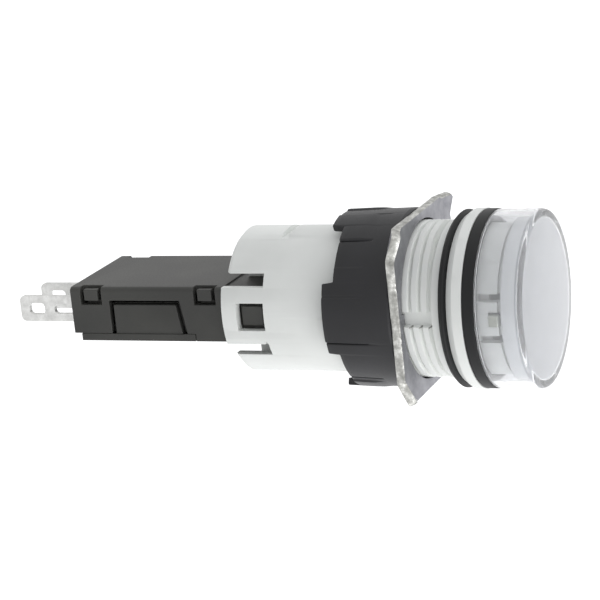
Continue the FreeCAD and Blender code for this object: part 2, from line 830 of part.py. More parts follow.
def make_board():
    """Circuit board, from between the tags to the light source in the nose."""
    board = new_body("circuit_board")
    thick = about(board_top)
    add_box(board, "board_wide", about(s.board_width / 2), (board_neck_rear, board_rear), thick)
    add_box(board, "board_neck", about(s.board_neck_width / 2), (s.board_front, board_neck_rear), thick)
    for side, middle in (("left", -s.tag_spacing / 2), ("right", s.tag_spacing / 2)):
        cut_box(board, f"tag_notch_{side}", about(tag_half + s.tag_clearance, middle),
                (tag_front - s.tag_shank_length - s.tag_clearance, board_rear + PAST),
                about(s.board_thickness))
    return board


def make_led():
    """Domed light source on the board's front edge, and its two leads."""
    lens = new_body("led_lens")
    dome = s.led_radius
    front = s.board_front - s.led_length
    arc = [30, 60]
    turned(lens, "Revolution", "led_dome", [
        (ZERO, s.board_front),
        (s.led_rim_radius, s.board_front),
        (s.led_rim_radius, s.board_front - s.led_rim_thickness),
        (dome, s.board_front - s.led_rim_thickness),
        (dome, front + dome),
        *[(dome * cosine(linked(turn)), front + dome - dome * sine(linked(turn))) for turn in arc],
        (ZERO, front),
    ])
    run = (s.board_front, s.board_front + s.lead_length)
    height = (board_top, board_top + s.lead_width)
    apart = about(s.lead_width / 2, s.lead_spacing / 2)
    leads = [brick(f"lead_{side}", span, run, height) for side, span in sides(*apart)]
    pair = doc.addObject("Part::Compound", "led_leads")
    pair.Links = leads
    pair.Label = "led_leads"
    return [lens, pair]


def make_resistor(label, middle):
    """A rolled resistor lying on the board, with a short lead at each end."""
    height = board_top + s.resistor_radius
    half = s.resistor_length / 2
    roll = rod(label + "_roll", s.resistor_radius, about(half, resistor_place), x=middle, z=height)
    wire = brick(label + "_wire", about(s.lead_width / 2, middle),
                 about(half + s.resistor_lead, resistor_place), (board_top, board_top + s.lead_width))
    return joined(label, [roll, wire])


def make_chip(label, length, width, height, middle):
    """A moulded component that stands on the board."""
    chip = new_body(label)
    add_box(chip, label + "_case", about(width / 2), about(length / 2, middle),
            (board_top, board_top + height))
    dress(chip, "Chamfer", label + "_bevel", "Size", s.chip_bevel,
          lambda edge: edge.CenterOfMass.z > (board_top + height).value - EDGE_ROOM)
    return chip


def make_tag(label, middle):
    """Tinned tag with a rounded end, a hole, a slot and a shank soldered in the board."""
    tag = new_body(label)
    plane = middle - tag_half
    low, high = about(s.tag_width / 2, tag_middle)
    shank_low, shank_high = about(s.tag_shank_height / 2, tag_middle)
    shank_end = tag_front - s.tag_shank_length
    extruded(tag, "Pad", label + "_blade", "YZ_Plane", plane, s.tag_thickness, [
        (tag_front, low), (tag_end, low), (tag_end, high), (tag_front, high),
        (tag_front, shank_high), (shank_end, shank_high), (shank_end, shank_low), (tag_front, shank_low),
    ])
    dress(tag, "Fillet", label + "_rounded_end", "Radius", s.tag_round,
          edge_across(middle, (tag_end, tag_end), (low, high)))
    for name, end, length, height in (("hole", tag_hole_end, s.tag_hole_length, s.tag_hole_height),
                                      ("slot", tag_slot_end, s.tag_slot_length, s.tag_slot_height)):
        span = (end - length, end)
        gap = about(height / 2, tag_middle)
        cut_box(tag, f"{label}_{name}", about(s.tag_thickness, middle), span, gap)
        dress(tag, "Fillet", f"{label}_{name}_corners", "Radius", s.tag_hole_round,
              edge_across(middle, span, gap))
    return tag


pieces = [
    make_lens_cap(),
    make_diffuser(),
    make_cap_seal(),
    make_head(),
    make_gasket(),
    make_reflector(),
    make_locking_plate(),
    make_nut(),
    make_block_cover(),
    make_block_base(),
    make_board(),
    *make_led(),
    make_resistor("series_resistor_left", -s.resistor_spacing / 2),
    make_resistor("series_resistor_right", s.resistor_spacing / 2),
    make_chip("rectifier", s.rectifier_length, s.rectifier_width, s.rectifier_height, rectifier_place),
    make_chip("capacitor", s.capacitor_length, s.capacitor_width, s.capacitor_height, capacitor_place),
    make_chip("protection_diode", s.diode_length, s.diode_width, s.diode_height, diode_place),
    make_tag("tag_left", -s.tag_spacing / 2),
    make_tag("tag_right", s.tag_spacing / 2),
]

doc.recompute()
for item in doc.Objects:
    if "Invalid" in item.State or "Error" in item.State:
        raise RuntimeError(f"{item.Name} failed: {item.State}")

os.makedirs("parts", exist_ok=True)
for piece in pieces:
    if piece.Shape.isNull() or not piece.Shape.isValid():
        raise RuntimeError(f"{piece.Label} has no valid shape")
    piece.Shape.exportStep(f"parts/{piece.Label}.step")
    print(f"{piece.Label}: {len(piece.Shape.Solids)} solid, {piece.Shape.Volume:.1f} mm3")
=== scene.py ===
import math

import bmesh
import bpy
import numpy as np
from mathutils import Matrix, Vector


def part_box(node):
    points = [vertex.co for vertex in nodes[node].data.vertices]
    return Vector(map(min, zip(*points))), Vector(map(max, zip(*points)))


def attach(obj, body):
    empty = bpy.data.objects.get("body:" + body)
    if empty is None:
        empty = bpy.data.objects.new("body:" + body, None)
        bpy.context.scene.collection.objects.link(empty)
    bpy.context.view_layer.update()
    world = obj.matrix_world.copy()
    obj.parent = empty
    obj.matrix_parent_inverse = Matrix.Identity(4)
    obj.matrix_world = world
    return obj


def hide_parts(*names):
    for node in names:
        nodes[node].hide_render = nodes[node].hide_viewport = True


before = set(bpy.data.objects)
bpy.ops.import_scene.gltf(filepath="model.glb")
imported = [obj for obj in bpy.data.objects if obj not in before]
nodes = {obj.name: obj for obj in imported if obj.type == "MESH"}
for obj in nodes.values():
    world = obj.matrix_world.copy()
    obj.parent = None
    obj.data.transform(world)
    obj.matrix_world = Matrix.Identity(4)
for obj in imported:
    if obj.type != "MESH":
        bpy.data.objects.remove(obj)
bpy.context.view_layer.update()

# Panel pilot light: clear cap, threaded white head, square locking plate, ring
# nut, slotted collar, flat light block and two tags. The frame is in metres and
# every shape below is worked out in millimetres. Y runs from the cap (negative)
# to the tags, X across the light block, Z up. A turn is an angle about the
# lamp's axis, from +X towards +Z, and the keyway and the near latch arm are at
# half a turn.
MM = 0.001
FULL_TURN = 2 * np.pi


# numbers from the frame, in millimetres


def span(name, axis):
    """The lowest and highest place of a node along an axis."""
    low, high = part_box(name)
    return low[axis] / MM, high[axis] / MM


CAP_FRONT, CAP_REAR = span("lens_cap", 1)
CAP_RADIUS = span("lens_cap", 0)[1]
DISC_FRONT, DISC_REAR = span("diffuser", 1)
DISC_RADIUS = span("diffuser", 0)[1]
SEAL_FRONT, SEAL_REAR = span("cap_seal", 1)
SEAL_RADIUS = span("cap_seal", 0)[1]
GASKET_FRONT, GASKET_REAR = span("panel_gasket", 1)
GASKET_RADIUS = span("panel_gasket", 0)[1]
PLATE_HALF = span("locking_plate", 0)[1]
PLATE_REAR = span("locking_plate", 1)[1]
NUT_FRONT, NUT_REAR = span("fixing_nut", 1)

# thread: the nut travels one pitch a turn, as its joint does. At turn 0 a groove lies at
# THREAD_START and a crest half a pitch behind it. The sleeve that carries the thread reaches
# from THREAD_FRONT to THREAD_REAR, and the thread dies out at THREAD_END.
PITCH = 1.0
THREAD_CREST = 7.98
THREAD_ROOT = 7.52
THREAD_FIT = 0.06
THREAD_START = 0.65
THREAD_FRONT = 0.9
THREAD_END = 11.0
THREAD_REAR = 12.5
SOLID_THREAD = 7.7
COLLAR_RADIUS = 7.56
KEYWAY_FLOOR = 7.27
KEYWAY_HALF = 0.75


# meshes from grids of points

MERGE_MM = 0.002
SHARP_DEGREES = 35
LATHE_TURNS = 224
FLAT_DEGREES = 1.0
COPY_SHARP_DEGREES = 30
BEVEL_SEGMENTS = 2


def turns(count):
    """Evenly spaced angles once round the lamp's axis."""
    return np.arange(count) * FULL_TURN / count


def ramp(low, high, value):
    """0 below low, 1 above high, and 3t^2 - 2t^3 between them."""
    t = np.clip((value - low) / (high - low), 0, 1)
    return t * t * (3 - 2 * t)


def apart(turn, middle):
    """The size of the angle between a turn and a middle one."""
    return np.abs((turn - middle + np.pi) % FULL_TURN - np.pi)


def round_axis(radius, y, turn):
    """Points at a radius, a place along the lamp and a turn: (r cos a, y, r sin a)."""
    radius, y, turn = np.broadcast_arrays(radius, y, turn)
    return np.stack([radius * np.cos(turn), y, radius * np.sin(turn)], axis=-1)


def rounded(corners, closed=True, steps=6):
    """A profile of (radius, y, reach) corners with each corner eased into the quadratic curve
    (1-t)^2 A + 2t(1-t) C + t^2 B, where A and B lie at its reach along its two sides."""
    corners = np.array(corners, dtype=float)
    spots, reach = corners[:, :2], corners[:, 2:]
    before = np.roll(spots, 1, axis=0) - spots
    after = np.roll(spots, -1, axis=0) - spots
    start = spots + reach * before / np.linalg.norm(before, axis=1, keepdims=True)
    end = spots + reach * after / np.linalg.norm(after, axis=1, keepdims=True)
    t = np.linspace(0, 1, steps)[:, None, None]
    curve = (1 - t) ** 2 * start + 2 * t * (1 - t) * spots + t ** 2 * end
    if not closed:
        curve[:, 0] = spots[0]
        curve[:, -1] = spots[-1]
    return curve.transpose(1, 0, 2).reshape(-1, 2)


def quads(rows, columns, closed_rows):
    """The corner numbers of every square of a grid. Its last column joins its first, and its last
    row may."""
    row, column = np.meshgrid(np.arange(rows if closed_rows else rows - 1), np.arange(columns),
                              indexing="ij")
    next_row, next_column = (row + 1) % rows, (column + 1) % columns
    corners = [row * columns + column, row * columns + next_column,
               next_row * columns + next_column, next_row * columns + column]
    return np.stack(corners, axis=-1).reshape(-1, 4)


def link_piece(name, mesh, body, finishes, replaced=()):
    """Give a mesh its finish and its body, and hide the nodes it stands for."""
    for finish in finishes:
        mesh.materials.append(finish)
    piece = bpy.data.objects.new(name, mesh)
    bpy.context.scene.collection.objects.link(piece)
    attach(piece, body)
    if replaced:
        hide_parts(*replaced)
    return piece


def grid_mesh(name, points, closed_rows=True, sharp_degrees=SHARP_DEGREES, second=None):
    """A closed mesh over a grid of points in millimetres. Its doubles are merged, its faces
    turned outwards, and the faces that second marks get the piece's second finish."""
    rows, columns = points.shape[:2]
    mesh = bpy.data.meshes.new(name)
    faces = quads(rows, columns, closed_rows)
    mesh.from_pydata((points.reshape(-1, 3) * MM).tolist(), [], faces.tolist())
    if second is not None:
        mesh.polygons.foreach_set("material_index", second.astype(np.int32).ravel())
    form = bmesh.new()
    form.from_mesh(mesh)
    bmesh.ops.remove_doubles(form, verts=form.verts, dist=MERGE_MM * MM)
    bmesh.ops.recalc_face_normals(form, faces=form.faces)
    form.to_mesh(mesh)
    form.free()
    mesh.shade_smooth()
    mesh.set_sharp_from_angle(angle=math.radians(sharp_degrees))
    return mesh


def lathe(name, profile, closed=True, second=None):
    """A profile of (radius, y) points turned about the lamp's axis."""
    points = round_axis(profile[:, None, 0], profile[:, None, 1], turns(LATHE_TURNS)[None, :])
    if second is not None:
        second = np.repeat(second[:, None], LATHE_TURNS, axis=1)
    return grid_mesh(name, points, closed_rows=closed, second=second)


def merged_copy(node):
    """A copy of a node's mesh with its loose triangles merged into whole flat faces."""
    mesh = nodes[node].data.copy()
    form = bmesh.new()
    form.from_mesh(mesh)
    bmesh.ops.remove_doubles(form, verts=form.verts, dist=MERGE_MM * MM)
    bmesh.ops.dissolve_limit(form, angle_limit=math.radians(FLAT_DEGREES), verts=form.verts,
                             edges=form.edges)
    form.to_mesh(mesh)
    form.free()
    mesh.materials.clear()
    mesh.shade_smooth()
    mesh.set_sharp_from_angle(angle=math.radians(COPY_SHARP_DEGREES))
    return mesh


def soften(piece, width_mm):
    """Round a moulded or punched piece's edges."""
    bevel = piece.modifiers.new("rounded_edges", "BEVEL")
    bevel.width = width_mm * MM
    bevel.segments = BEVEL_SEGMENTS
    bevel.limit_method = "ANGLE"
    bevel.angle_limit = math.radians(SHARP_DEGREES)
    bevel.harden_normals = True
    bevel.use_clamp_overlap = True


# colours and node trees


def linear(code):
    """A hex sRGB colour as linear red, green, blue and alpha."""
    parts = np.array([int(code[place:place + 2], 16) for place in (1, 3, 5)]) / 255
    parts = np.where(parts <= 0.04045, parts / 12.92, ((parts + 0.055) / 1.055) ** 2.4)
    return (*parts.tolist(), 1.0)


def add(tree, kind, stops=None, inputs=None, **settings):
    """Add a node with its settings, its ramp stops, and its inputs: plain values or other outputs."""
    node = tree.nodes.new("ShaderNode" + kind)
    for name, value in settings.items():
        setattr(node, name, value)
    if stops:
        elements = node.color_ramp.elements
        while len(elements) < len(stops):
            elements.new(1.0)
        for element, (place, colour) in zip(elements, stops):
            element.position = place
            element.color = colour
    for name, value in (inputs or {}).items():
        if isinstance(value, bpy.types.NodeSocket):
            tree.links.new(value, node.inputs[name])
        else:
            node.inputs[name].default_value = value
    return node


def new_finish(name):
    """An empty material and its node tree."""
    material = bpy.data.materials.new(name)
    material.use_nodes = True
    material.node_tree.nodes.clear()
    return material, material.node_tree


def close_finish(tree, shader):
    """Join a finish's last shader to its output."""
    add(tree, "OutputMaterial", inputs={"Surface": shader.outputs[0]})


CLOUD_MM = 6.0
SHEEN_SPREAD = 0.05
MOULDED_IOR = 1.53


def moulded(name, colour, cloud, rough, grain_mm, grain_depth_mm, gloss=0.5):
    """Injection-moulded plastic: slow clouds between two close colours, and a fine spark-eroded
    grain in the bump and the roughness, which makes its gloss a soft sheen. The real grain is finer
    than the picture can hold, so it is drawn as coarse as it needs to show."""
    material, tree = new_finish(name)
    where = add(tree, "TexCoord").outputs["Object"]
    clouds = add(tree, "TexNoise", inputs={"Vector": where, "Scale": 1 / (CLOUD_MM * MM), "Detail": 3.0})
    tone = add(tree, "ValToRGB", stops=[(0.35, linear(colour)), (0.68, linear(cloud))],
               inputs={"Fac": clouds.outputs["Fac"]})
    grain = add(tree, "TexNoise", inputs={"Vector": where, "Scale": 1 / (grain_mm * MM), "Detail": 2.0})
    sheen = add(tree, "MapRange", inputs={"Value": grain.outputs["Fac"], "From Min": 0.3, "From Max": 0.7,
                                          "To Min": rough - SHEEN_SPREAD, "To Max": rough + SHEEN_SPREAD})
    bump = add(tree, "Bump", inputs={"Height": grain.outputs["Fac"], "Distance": grain_depth_mm * MM,
                                     "Strength": 0.5})
    shader = add(tree, "BsdfPrincipled", inputs={
        "Base Color": tone.outputs["Color"], "Roughness": sheen.outputs["Result"],
        "Normal": bump.outputs["Normal"], "IOR": MOULDED_IOR, "Specular IOR Level": gloss})
    close_finish(tree, shader)
    return material


def clear_polycarbonate():
    """Polished clear polycarbonate with the faint milkiness of a moulded cap: an eighth of the light
    scatters in it, and the rest goes through."""
    material, tree = new_finish("clear_polycarbonate")
    shader = add(tree, "BsdfPrincipled", inputs={
        "Base Color": linear("#F8F9FB"), "Roughness": 0.02, "IOR": 1.42, "Transmission Weight": 0.87})
    close_finish(tree, shader)
    return material


ETCHING_MM = 0.12
ETCHING_DEPTH_MM = 0.006
MILK_CLOUD_MM = 9.0


def frosted_polycarbonate(name, dark, pale, through):
    """Milky polycarbonate with an etched skin: it scatters most light, and lets a share through.
    The etching too is drawn coarser than it is, to show."""
    material, tree = new_finish(name)
    where = add(tree, "TexCoord").outputs["Object"]
    etching = add(tree, "TexNoise", inputs={"Vector": where, "Scale": 1 / (ETCHING_MM * MM), "Detail": 2.0})
    clouds = add(tree, "TexNoise", inputs={"Vector": where, "Scale": 1 / (MILK_CLOUD_MM * MM), "Detail": 1.0})
    tone = add(tree, "ValToRGB", stops=[(0.35, linear(dark)), (0.65, linear(pale))],
               inputs={"Fac": clouds.outputs["Fac"]})
    bump = add(tree, "Bump", inputs={"Height": etching.outputs["Fac"], "Distance": ETCHING_DEPTH_MM * MM,
                                     "Strength": 0.4})
    shader = add(tree, "BsdfPrincipled", inputs={
        "Base Color": tone.outputs["Color"], "Roughness": 0.5, "IOR": 1.585, "Specular IOR Level": 0.15,
        "Transmission Weight": through, "Normal": bump.outputs["Normal"]})
    close_finish(tree, shader)
    return material


METAL_GRAIN_MM = 0.16


def plated(name, dark, middle, pale, rough, smooth, blotch_mm, bump_mm):
    """Plated sheet metal: a pale metal with blotches where the plating lies thick or thin, smoother
    where it is pale, over the fine grain of the rolled sheet or the torn grain of its sheared rim."""
    material, tree = new_finish(name)
    where = add(tree, "TexCoord").outputs["Object"]
    blotches = add(tree, "TexNoise", inputs={"Vector": where, "Scale": 1 / (blotch_mm * MM), "Detail": 6.0,
                                             "Roughness": 0.65})
    tone = add(tree, "ValToRGB", stops=[(0.3, linear(dark)), (0.5, linear(middle)), (0.7, linear(pale))],
               inputs={"Fac": blotches.outputs["Fac"]})
    gloss = add(tree, "MapRange", inputs={"Value": blotches.outputs["Fac"], "From Min": 0.3, "From Max": 0.7,
                                          "To Min": rough, "To Max": smooth})
    grain = add(tree, "TexNoise", inputs={"Vector": where, "Scale": 1 / (METAL_GRAIN_MM * MM), "Detail": 3.0})
    bump = add(tree, "Bump", inputs={"Height": grain.outputs["Fac"], "Distance": bump_mm * MM,
                                     "Strength": 0.6})
    shader = add(tree, "BsdfPrincipled", inputs={
        "Base Color": tone.outputs["Color"], "Metallic": 1.0, "Roughness": gloss.outputs["Result"],
        "Normal": bump.outputs["Normal"]})
    close_finish(tree, shader)
    return material


# White polyamide off a spark-eroded mould: an even colour with a broad soft sheen.
WHITE = moulded("white_polyamide", "#E7E9E6", "#EEF0ED", 0.42, 0.12, 0.006)
# The same in black: smoother on the nut, duller and browner on the light block.
NUT_BLACK = moulded("nut_black_polyamide", "#1E1E20", "#252528", 0.42, 0.14, 0.008, gloss=0.32)
BLOCK_BLACK = moulded("block_black_polyamide", "#393937", "#42423F", 0.5, 0.16, 0.012, gloss=0.32)
# Painted shade in the sink marks: greyer than the white round it.
PIT_SHADE = moulded("painted_shade_in_pits", "#A6A6A2", "#B0B0AC", 0.6, 0.12, 0.006)
# Moulded seal rubber: nearly black, with hardly a highlight.
RUBBER = moulded("seal_rubber", "#141516", "#18191A", 0.5, 0.1, 0.006, gloss=0.25)
# Glass-epoxy laminate, epoxy cases and the white dish, which show only through openings.
BOARD = moulded("board_laminate", "#1F5A33", "#266A3D", 0.45, 0.2, 0.01)
COMPONENT = moulded("component_epoxy", "#1D1D1F", "#242426", 0.5, 0.15, 0.01)
REFLECTOR = moulded("reflector_white", "#E4E4E2", "#EAEAE8", 0.35, 0.12, 0.004)
# Polycarbonate: clear on the cap, milky on the disc's face, whiter on its side and on the lugs; the whiter
# side is painted light.
CLEAR = clear_polycarbonate()
FROSTED = frosted_polycarbonate("frosted_polycarbonate", "#B6B9BE", "#BFC2C6", 0.2)
MILKY_LUG = frosted_polycarbonate("milky_lug_polycarbonate", "#D9DDD2", "#E0E4DA", 0.35)
FROSTED_PAINTED_BRIGHT = frosted_polycarbonate("frosted_polycarbonate_painted_bright_side", "#EDEFF0", "#F2F4F5", 0.1)
# Zinc-plated steel: a dull blotchy sheet, and brighter torn metal on its sheared rim.
ZINC = plated("zinc_plated_sheet", "#8B8B90", "#99999E", "#A8A8AC", 0.52, 0.38, 2.5, 0.02)
ZINC_RIM = plated("zinc_plated_shear", "#868682", "#A9A9A5", "#E0E0DC", 0.48, 0.32, 0.9, 0.06)
# Tinned brass: whiter and more even than the zinc.
TINNED = plated("tinned_brass", "#BEBEBC", "#CCCCCA", "#DADAD8", 0.45, 0.32, 0.8, 0.02)

FINISHES = {
    "lens_cap": CLEAR, "diffuser": FROSTED, "cap_seal": RUBBER, "panel_gasket": RUBBER,
    "head_body": WHITE, "reflector": REFLECTOR, "locking_plate": ZINC, "fixing_nut": NUT_BLACK,
    "block_cover": BLOCK_BLACK, "block_base": BLOCK_BLACK, "circuit_board": BOARD, "led_lens": CLEAR,
    "led_leads": TINNED, "series_resistor_left": COMPONENT, "series_resistor_right": COMPONENT,
    "rectifier": COMPONENT, "capacitor": COMPONENT, "protection_diode": COMPONENT,
    "tag_left": TINNED, "tag_right": TINNED,
}
for name, finish in FINISHES.items():
    nodes[name].data.materials.clear()
    nodes[name].data.materials.append(finish)


# cap, disc and seals

CAP_WALL = 0.85
CAP_CROWN = 0.45
CROWN_SHARE = 0.93
CAP_EDGE = 0.5
DISC_GAP = 0.07
DISC_WALL = 0.5
DISC_THICK = 0.7
DISC_EDGE = 0.25
SEAL_BORE = 7.6
SEAL_EDGE = 0.16
GASKET_BORE = 7.75
GASKET_FLANK = 8.6
GASKET_FOOT = 8.05
LUG_HALF = (0.42, 0.5, 0.55)
LUG_RADIUS = 7.75
LUG_PLACE = -5.53
LUG_COUNT = 40
LUG_POWER = 8


def make_cap():
    """Clear cup: a lathed wall with a crowned front, y = front + rise (r / R)^2, a rounded front
    edge, and a rear rim that sits on the seal."""
    inside = CAP_RADIUS - CAP_WALL
    rim = CAP_FRONT + CAP_CROWN
    shares = np.linspace(0, CROWN_SHARE, 9)
    crown = [(CAP_RADIUS * share, CAP_FRONT + CAP_CROWN * share ** 2, 0) for share in shares]
    corners = crown + [(CAP_RADIUS, rim - 0.02, CAP_EDGE), (CAP_RADIUS, CAP_REAR, 0.1),
                       (inside, CAP_REAR, 0.12), (inside, DISC_FRONT, 0.18), (0, DISC_FRONT, 0)]
    profile = rounded(corners, closed=False)
    link_piece("clear_cap", lathe("clear_cap", profile, closed=False), "lamp", [CLEAR],
               ["lens_cap"])


def make_lugs():
    """The cap's two inner lugs: superquadric blocks, whose every section is |u|^8 + |v|^8 = 1. They
    are thick and their mould is plain, so they look milkier than the polished wall."""
    across = np.linspace(-np.pi / 2, np.pi / 2, LUG_COUNT)[:, None]
    along = turns(LUG_COUNT)[None, :]

    def eased(wave):
        """A sine or cosine flattened into its side of the block."""
        return np.sign(wave) * np.abs(wave) ** (2 / LUG_POWER)

    ring = eased(np.cos(across))
    shape = np.stack(np.broadcast_arrays(ring * eased(np.cos(along)), ring * eased(np.sin(along)),
                                         eased(np.sin(across))), axis=-1)
    for side, direction in (("left", -1), ("right", 1)):
        points = shape * LUG_HALF + (direction * LUG_RADIUS, LUG_PLACE, 0)
        name = f"cap_lug_{side}"
        link_piece(name, grid_mesh(name, points, closed_rows=False), "lamp", [MILKY_LUG])


def make_disc():
    """Frosted disc with its skirt, a cup's profile turned about the axis, a hair behind the cap's
    front. Its side, smoother than its etched front, is drawn whiter: painted light."""
    front = DISC_FRONT + DISC_GAP
    wall = DISC_RADIUS - DISC_WALL
    floor = DISC_FRONT + DISC_THICK
    profile = rounded([(0, front, 0), (DISC_RADIUS, front, DISC_EDGE), (DISC_RADIUS, DISC_REAR, 0.28),
                       (wall, DISC_REAR, 0.1), (wall, floor, 0.2), (0, floor, 0)], closed=False)
    # the skirt's side faces get the copy painted brighter, as light
    painted_bright_side = (profile[:-1, 0] > wall + 0.05) & (profile[:-1, 1] > front + 0.1)
    link_piece("frosted_disc", lathe("frosted_disc", profile, closed=False, second=painted_bright_side), "lamp",
               [FROSTED, FROSTED_PAINTED_BRIGHT], ["diffuser"])


def make_seals():
    """The ring under the cap and the gasket in its groove, each a closed profile turned about the
    axis: the first a rounded rectangle, the second with a bulging outer lip."""
    profile = rounded([(SEAL_BORE, SEAL_FRONT, 0.1), (SEAL_RADIUS, SEAL_FRONT, SEAL_EDGE),
                       (SEAL_RADIUS, SEAL_REAR, SEAL_EDGE), (SEAL_BORE, SEAL_REAR, 0.1)])
    link_piece("cap_seal_ring", lathe("cap_seal_ring", profile), "lamp", [RUBBER],
               ["cap_seal"])
    front = GASKET_FRONT + 0.01
    profile = rounded([(GASKET_BORE, front, 0.05), (GASKET_FLANK, front, 0.1),
                       (GASKET_RADIUS, GASKET_FRONT + 0.28, 0.15), (GASKET_RADIUS, GASKET_REAR - 0.38, 0.15),
                       (GASKET_FLANK, GASKET_REAR, 0.12), (GASKET_FOOT, GASKET_REAR, 0.05),
                       (GASKET_BORE, GASKET_REAR - 0.35, 0.05)])
    link_piece("gasket_ring", lathe("gasket_ring", profile), "lamp", [RUBBER],
               ["panel_gasket"])


# thread, head and nut

THREAD_TURNS = 288
ROWS_PER_PITCH = 14
CREST_SHARE = 0.55
RUN_IN = 0.35
RUN_OUT = 0.5
SLEEVE_BORE = 6.9
PIT_DEPTH = 0.3
PIT_WIDTH = math.radians(0.9)
KEYWAY_REACH = math.asin(KEYWAY_HALF / SOLID_THREAD)


def from_crest(y, turn):
    """0 on the helix of the thread's crest and 1 in its groove, along y / pitch + turn."""
    return np.abs(((y - THREAD_START) / PITCH + turn / FULL_TURN) % 1.0 - 0.5) * 2


def thread_radius(y, turn):
    """Moulded right-hand thread: crest - (crest - root) ramp(crest share, 1, distance from crest),
    which is broad crests, and grooves with soft flanks between them."""
    return THREAD_CREST - (THREAD_CREST - THREAD_ROOT) * ramp(CREST_SHARE, 1.0, from_crest(y, turn))


def make_thread():
    """A sleeve round the head: the thread outside, less the run-in and run-out at its ends, cut by
    the keyway's flat floor, radius = floor / cos(turn), with a small sink mark where each groove
    runs into the keyway's lower wall, its faces painted grey as shade."""
    rows = int((THREAD_REAR - THREAD_FRONT) / PITCH * ROWS_PER_PITCH)
    y = np.linspace(THREAD_FRONT, THREAD_REAR, rows)[:, None]
    walls = np.array([-1.01, -0.99, 0.99, 1.01]) * KEYWAY_REACH
    pit_turns = KEYWAY_REACH + np.linspace(0.2, 2, 10) * PIT_WIDTH
    turn = np.sort(np.concatenate([turns(THREAD_TURNS), np.pi + walls, np.pi + pit_turns]))[None, :]
    outside = thread_radius(y, turn)
    ending = ramp(THREAD_END - RUN_OUT, THREAD_END, y)
    full = ramp(THREAD_FRONT, THREAD_FRONT + RUN_IN, y) * (1 - ending)
    plain = THREAD_ROOT + (COLLAR_RADIUS - THREAD_ROOT) * ending
    outside = plain + (outside - plain) * full
    pit = 1 - ramp(0.3, 1.0, apart(turn, np.pi + KEYWAY_REACH + 0.6 * PIT_WIDTH) / PIT_WIDTH)
    pit = pit * ramp(CREST_SHARE, 0.8, from_crest(y, turn))
    outside = outside - PIT_DEPTH * pit
    in_keyway = apart(turn, np.pi) < KEYWAY_REACH
    outside = np.where(in_keyway, KEYWAY_FLOOR / np.maximum(np.abs(np.cos(turn)), 0.1), outside)
    sleeve = np.concatenate([round_axis(outside, y, turn),
                             round_axis(SLEEVE_BORE, np.array([[THREAD_REAR], [THREAD_FRONT]]), turn)])
    # the faces in each sink mark get the painted shade
    shaded_pits = np.zeros(sleeve.shape[:2], dtype=bool)
    shaded_pits[:rows] = (pit > 0.5) & ~in_keyway
    mesh = grid_mesh("head_thread", sleeve, sharp_degrees=50, second=shaded_pits)
    link_piece("head_thread", mesh, "lamp", [WHITE, PIT_SHADE])


HEAD_CORE = 7.0
HEAD_EDGE = 0.1


def make_head():
    """The head's own solid with softened edges. The faces of its threaded stretch, between the bore
    and the mean radius, are drawn in to the core, under the thread's sleeve."""
    mesh = merged_copy("head_body")
    spots = np.empty(len(mesh.vertices) * 3)
    mesh.vertices.foreach_get("co", spots)
    spots = spots.reshape(-1, 3) / MM
    radius = np.hypot(spots[:, 0], spots[:, 2])
    threaded = (spots[:, 1] > THREAD_FRONT - 0.01) & (spots[:, 1] < THREAD_REAR + 0.01)
    threaded &= (radius > 7.2) & (radius < SOLID_THREAD + 0.01) & (np.abs(radius - COLLAR_RADIUS) > 0.01)
    inwards = np.where(threaded, HEAD_CORE / np.maximum(radius, 1.0), 1.0)
    spots[:, 0] *= inwards
    spots[:, 2] *= inwards
    mesh.vertices.foreach_set("co", (spots * MM).ravel())
    mesh.update()
    head = link_piece("head_moulding", mesh, "lamp", [WHITE], ["head_body"])
    soften(head, HEAD_EDGE)


NUT_RADIUS = 9.14
NUT_DRAFT = 0.25
NUT_LIFT = 0.1
NUT_BEVEL = 0.3
NUT_MOUTH = 8.3
MOUTH_DEPTH = 1.4
TOOTH_DEPTH = 1.15
SIDE_TOOTH_HALF = math.radians(24.5)
TOP_TOOTH_HALF = math.radians(22.0)
TOP_TOOTH_MORE = 0.15
TOOTH_EDGE = 0.04
LAND_FRONT = 2.5
LAND_RISE = 0.16
LAND_FADE = 1.6
GRIP_GROOVES = [math.radians(place) for place in (97.0, 125.5, 195.8, 230.0)]
GROOVE_DEPTH = 0.16
GROOVE_WIDTH = math.radians(0.6)
FAINT_LAND_SHARE = 0.3
SIDE_LAND_HALF = math.radians(15.0)
TOP_LAND_HALF = math.radians(14.0)
TOP_LAND_PLACE = math.radians(69.0)
FAINT_LAND = (math.radians(154.4), math.radians(9.1))
NUT_STEP_HALF = math.radians(0.7)
NUT_TURNS = 900
BORE_ROWS = 63


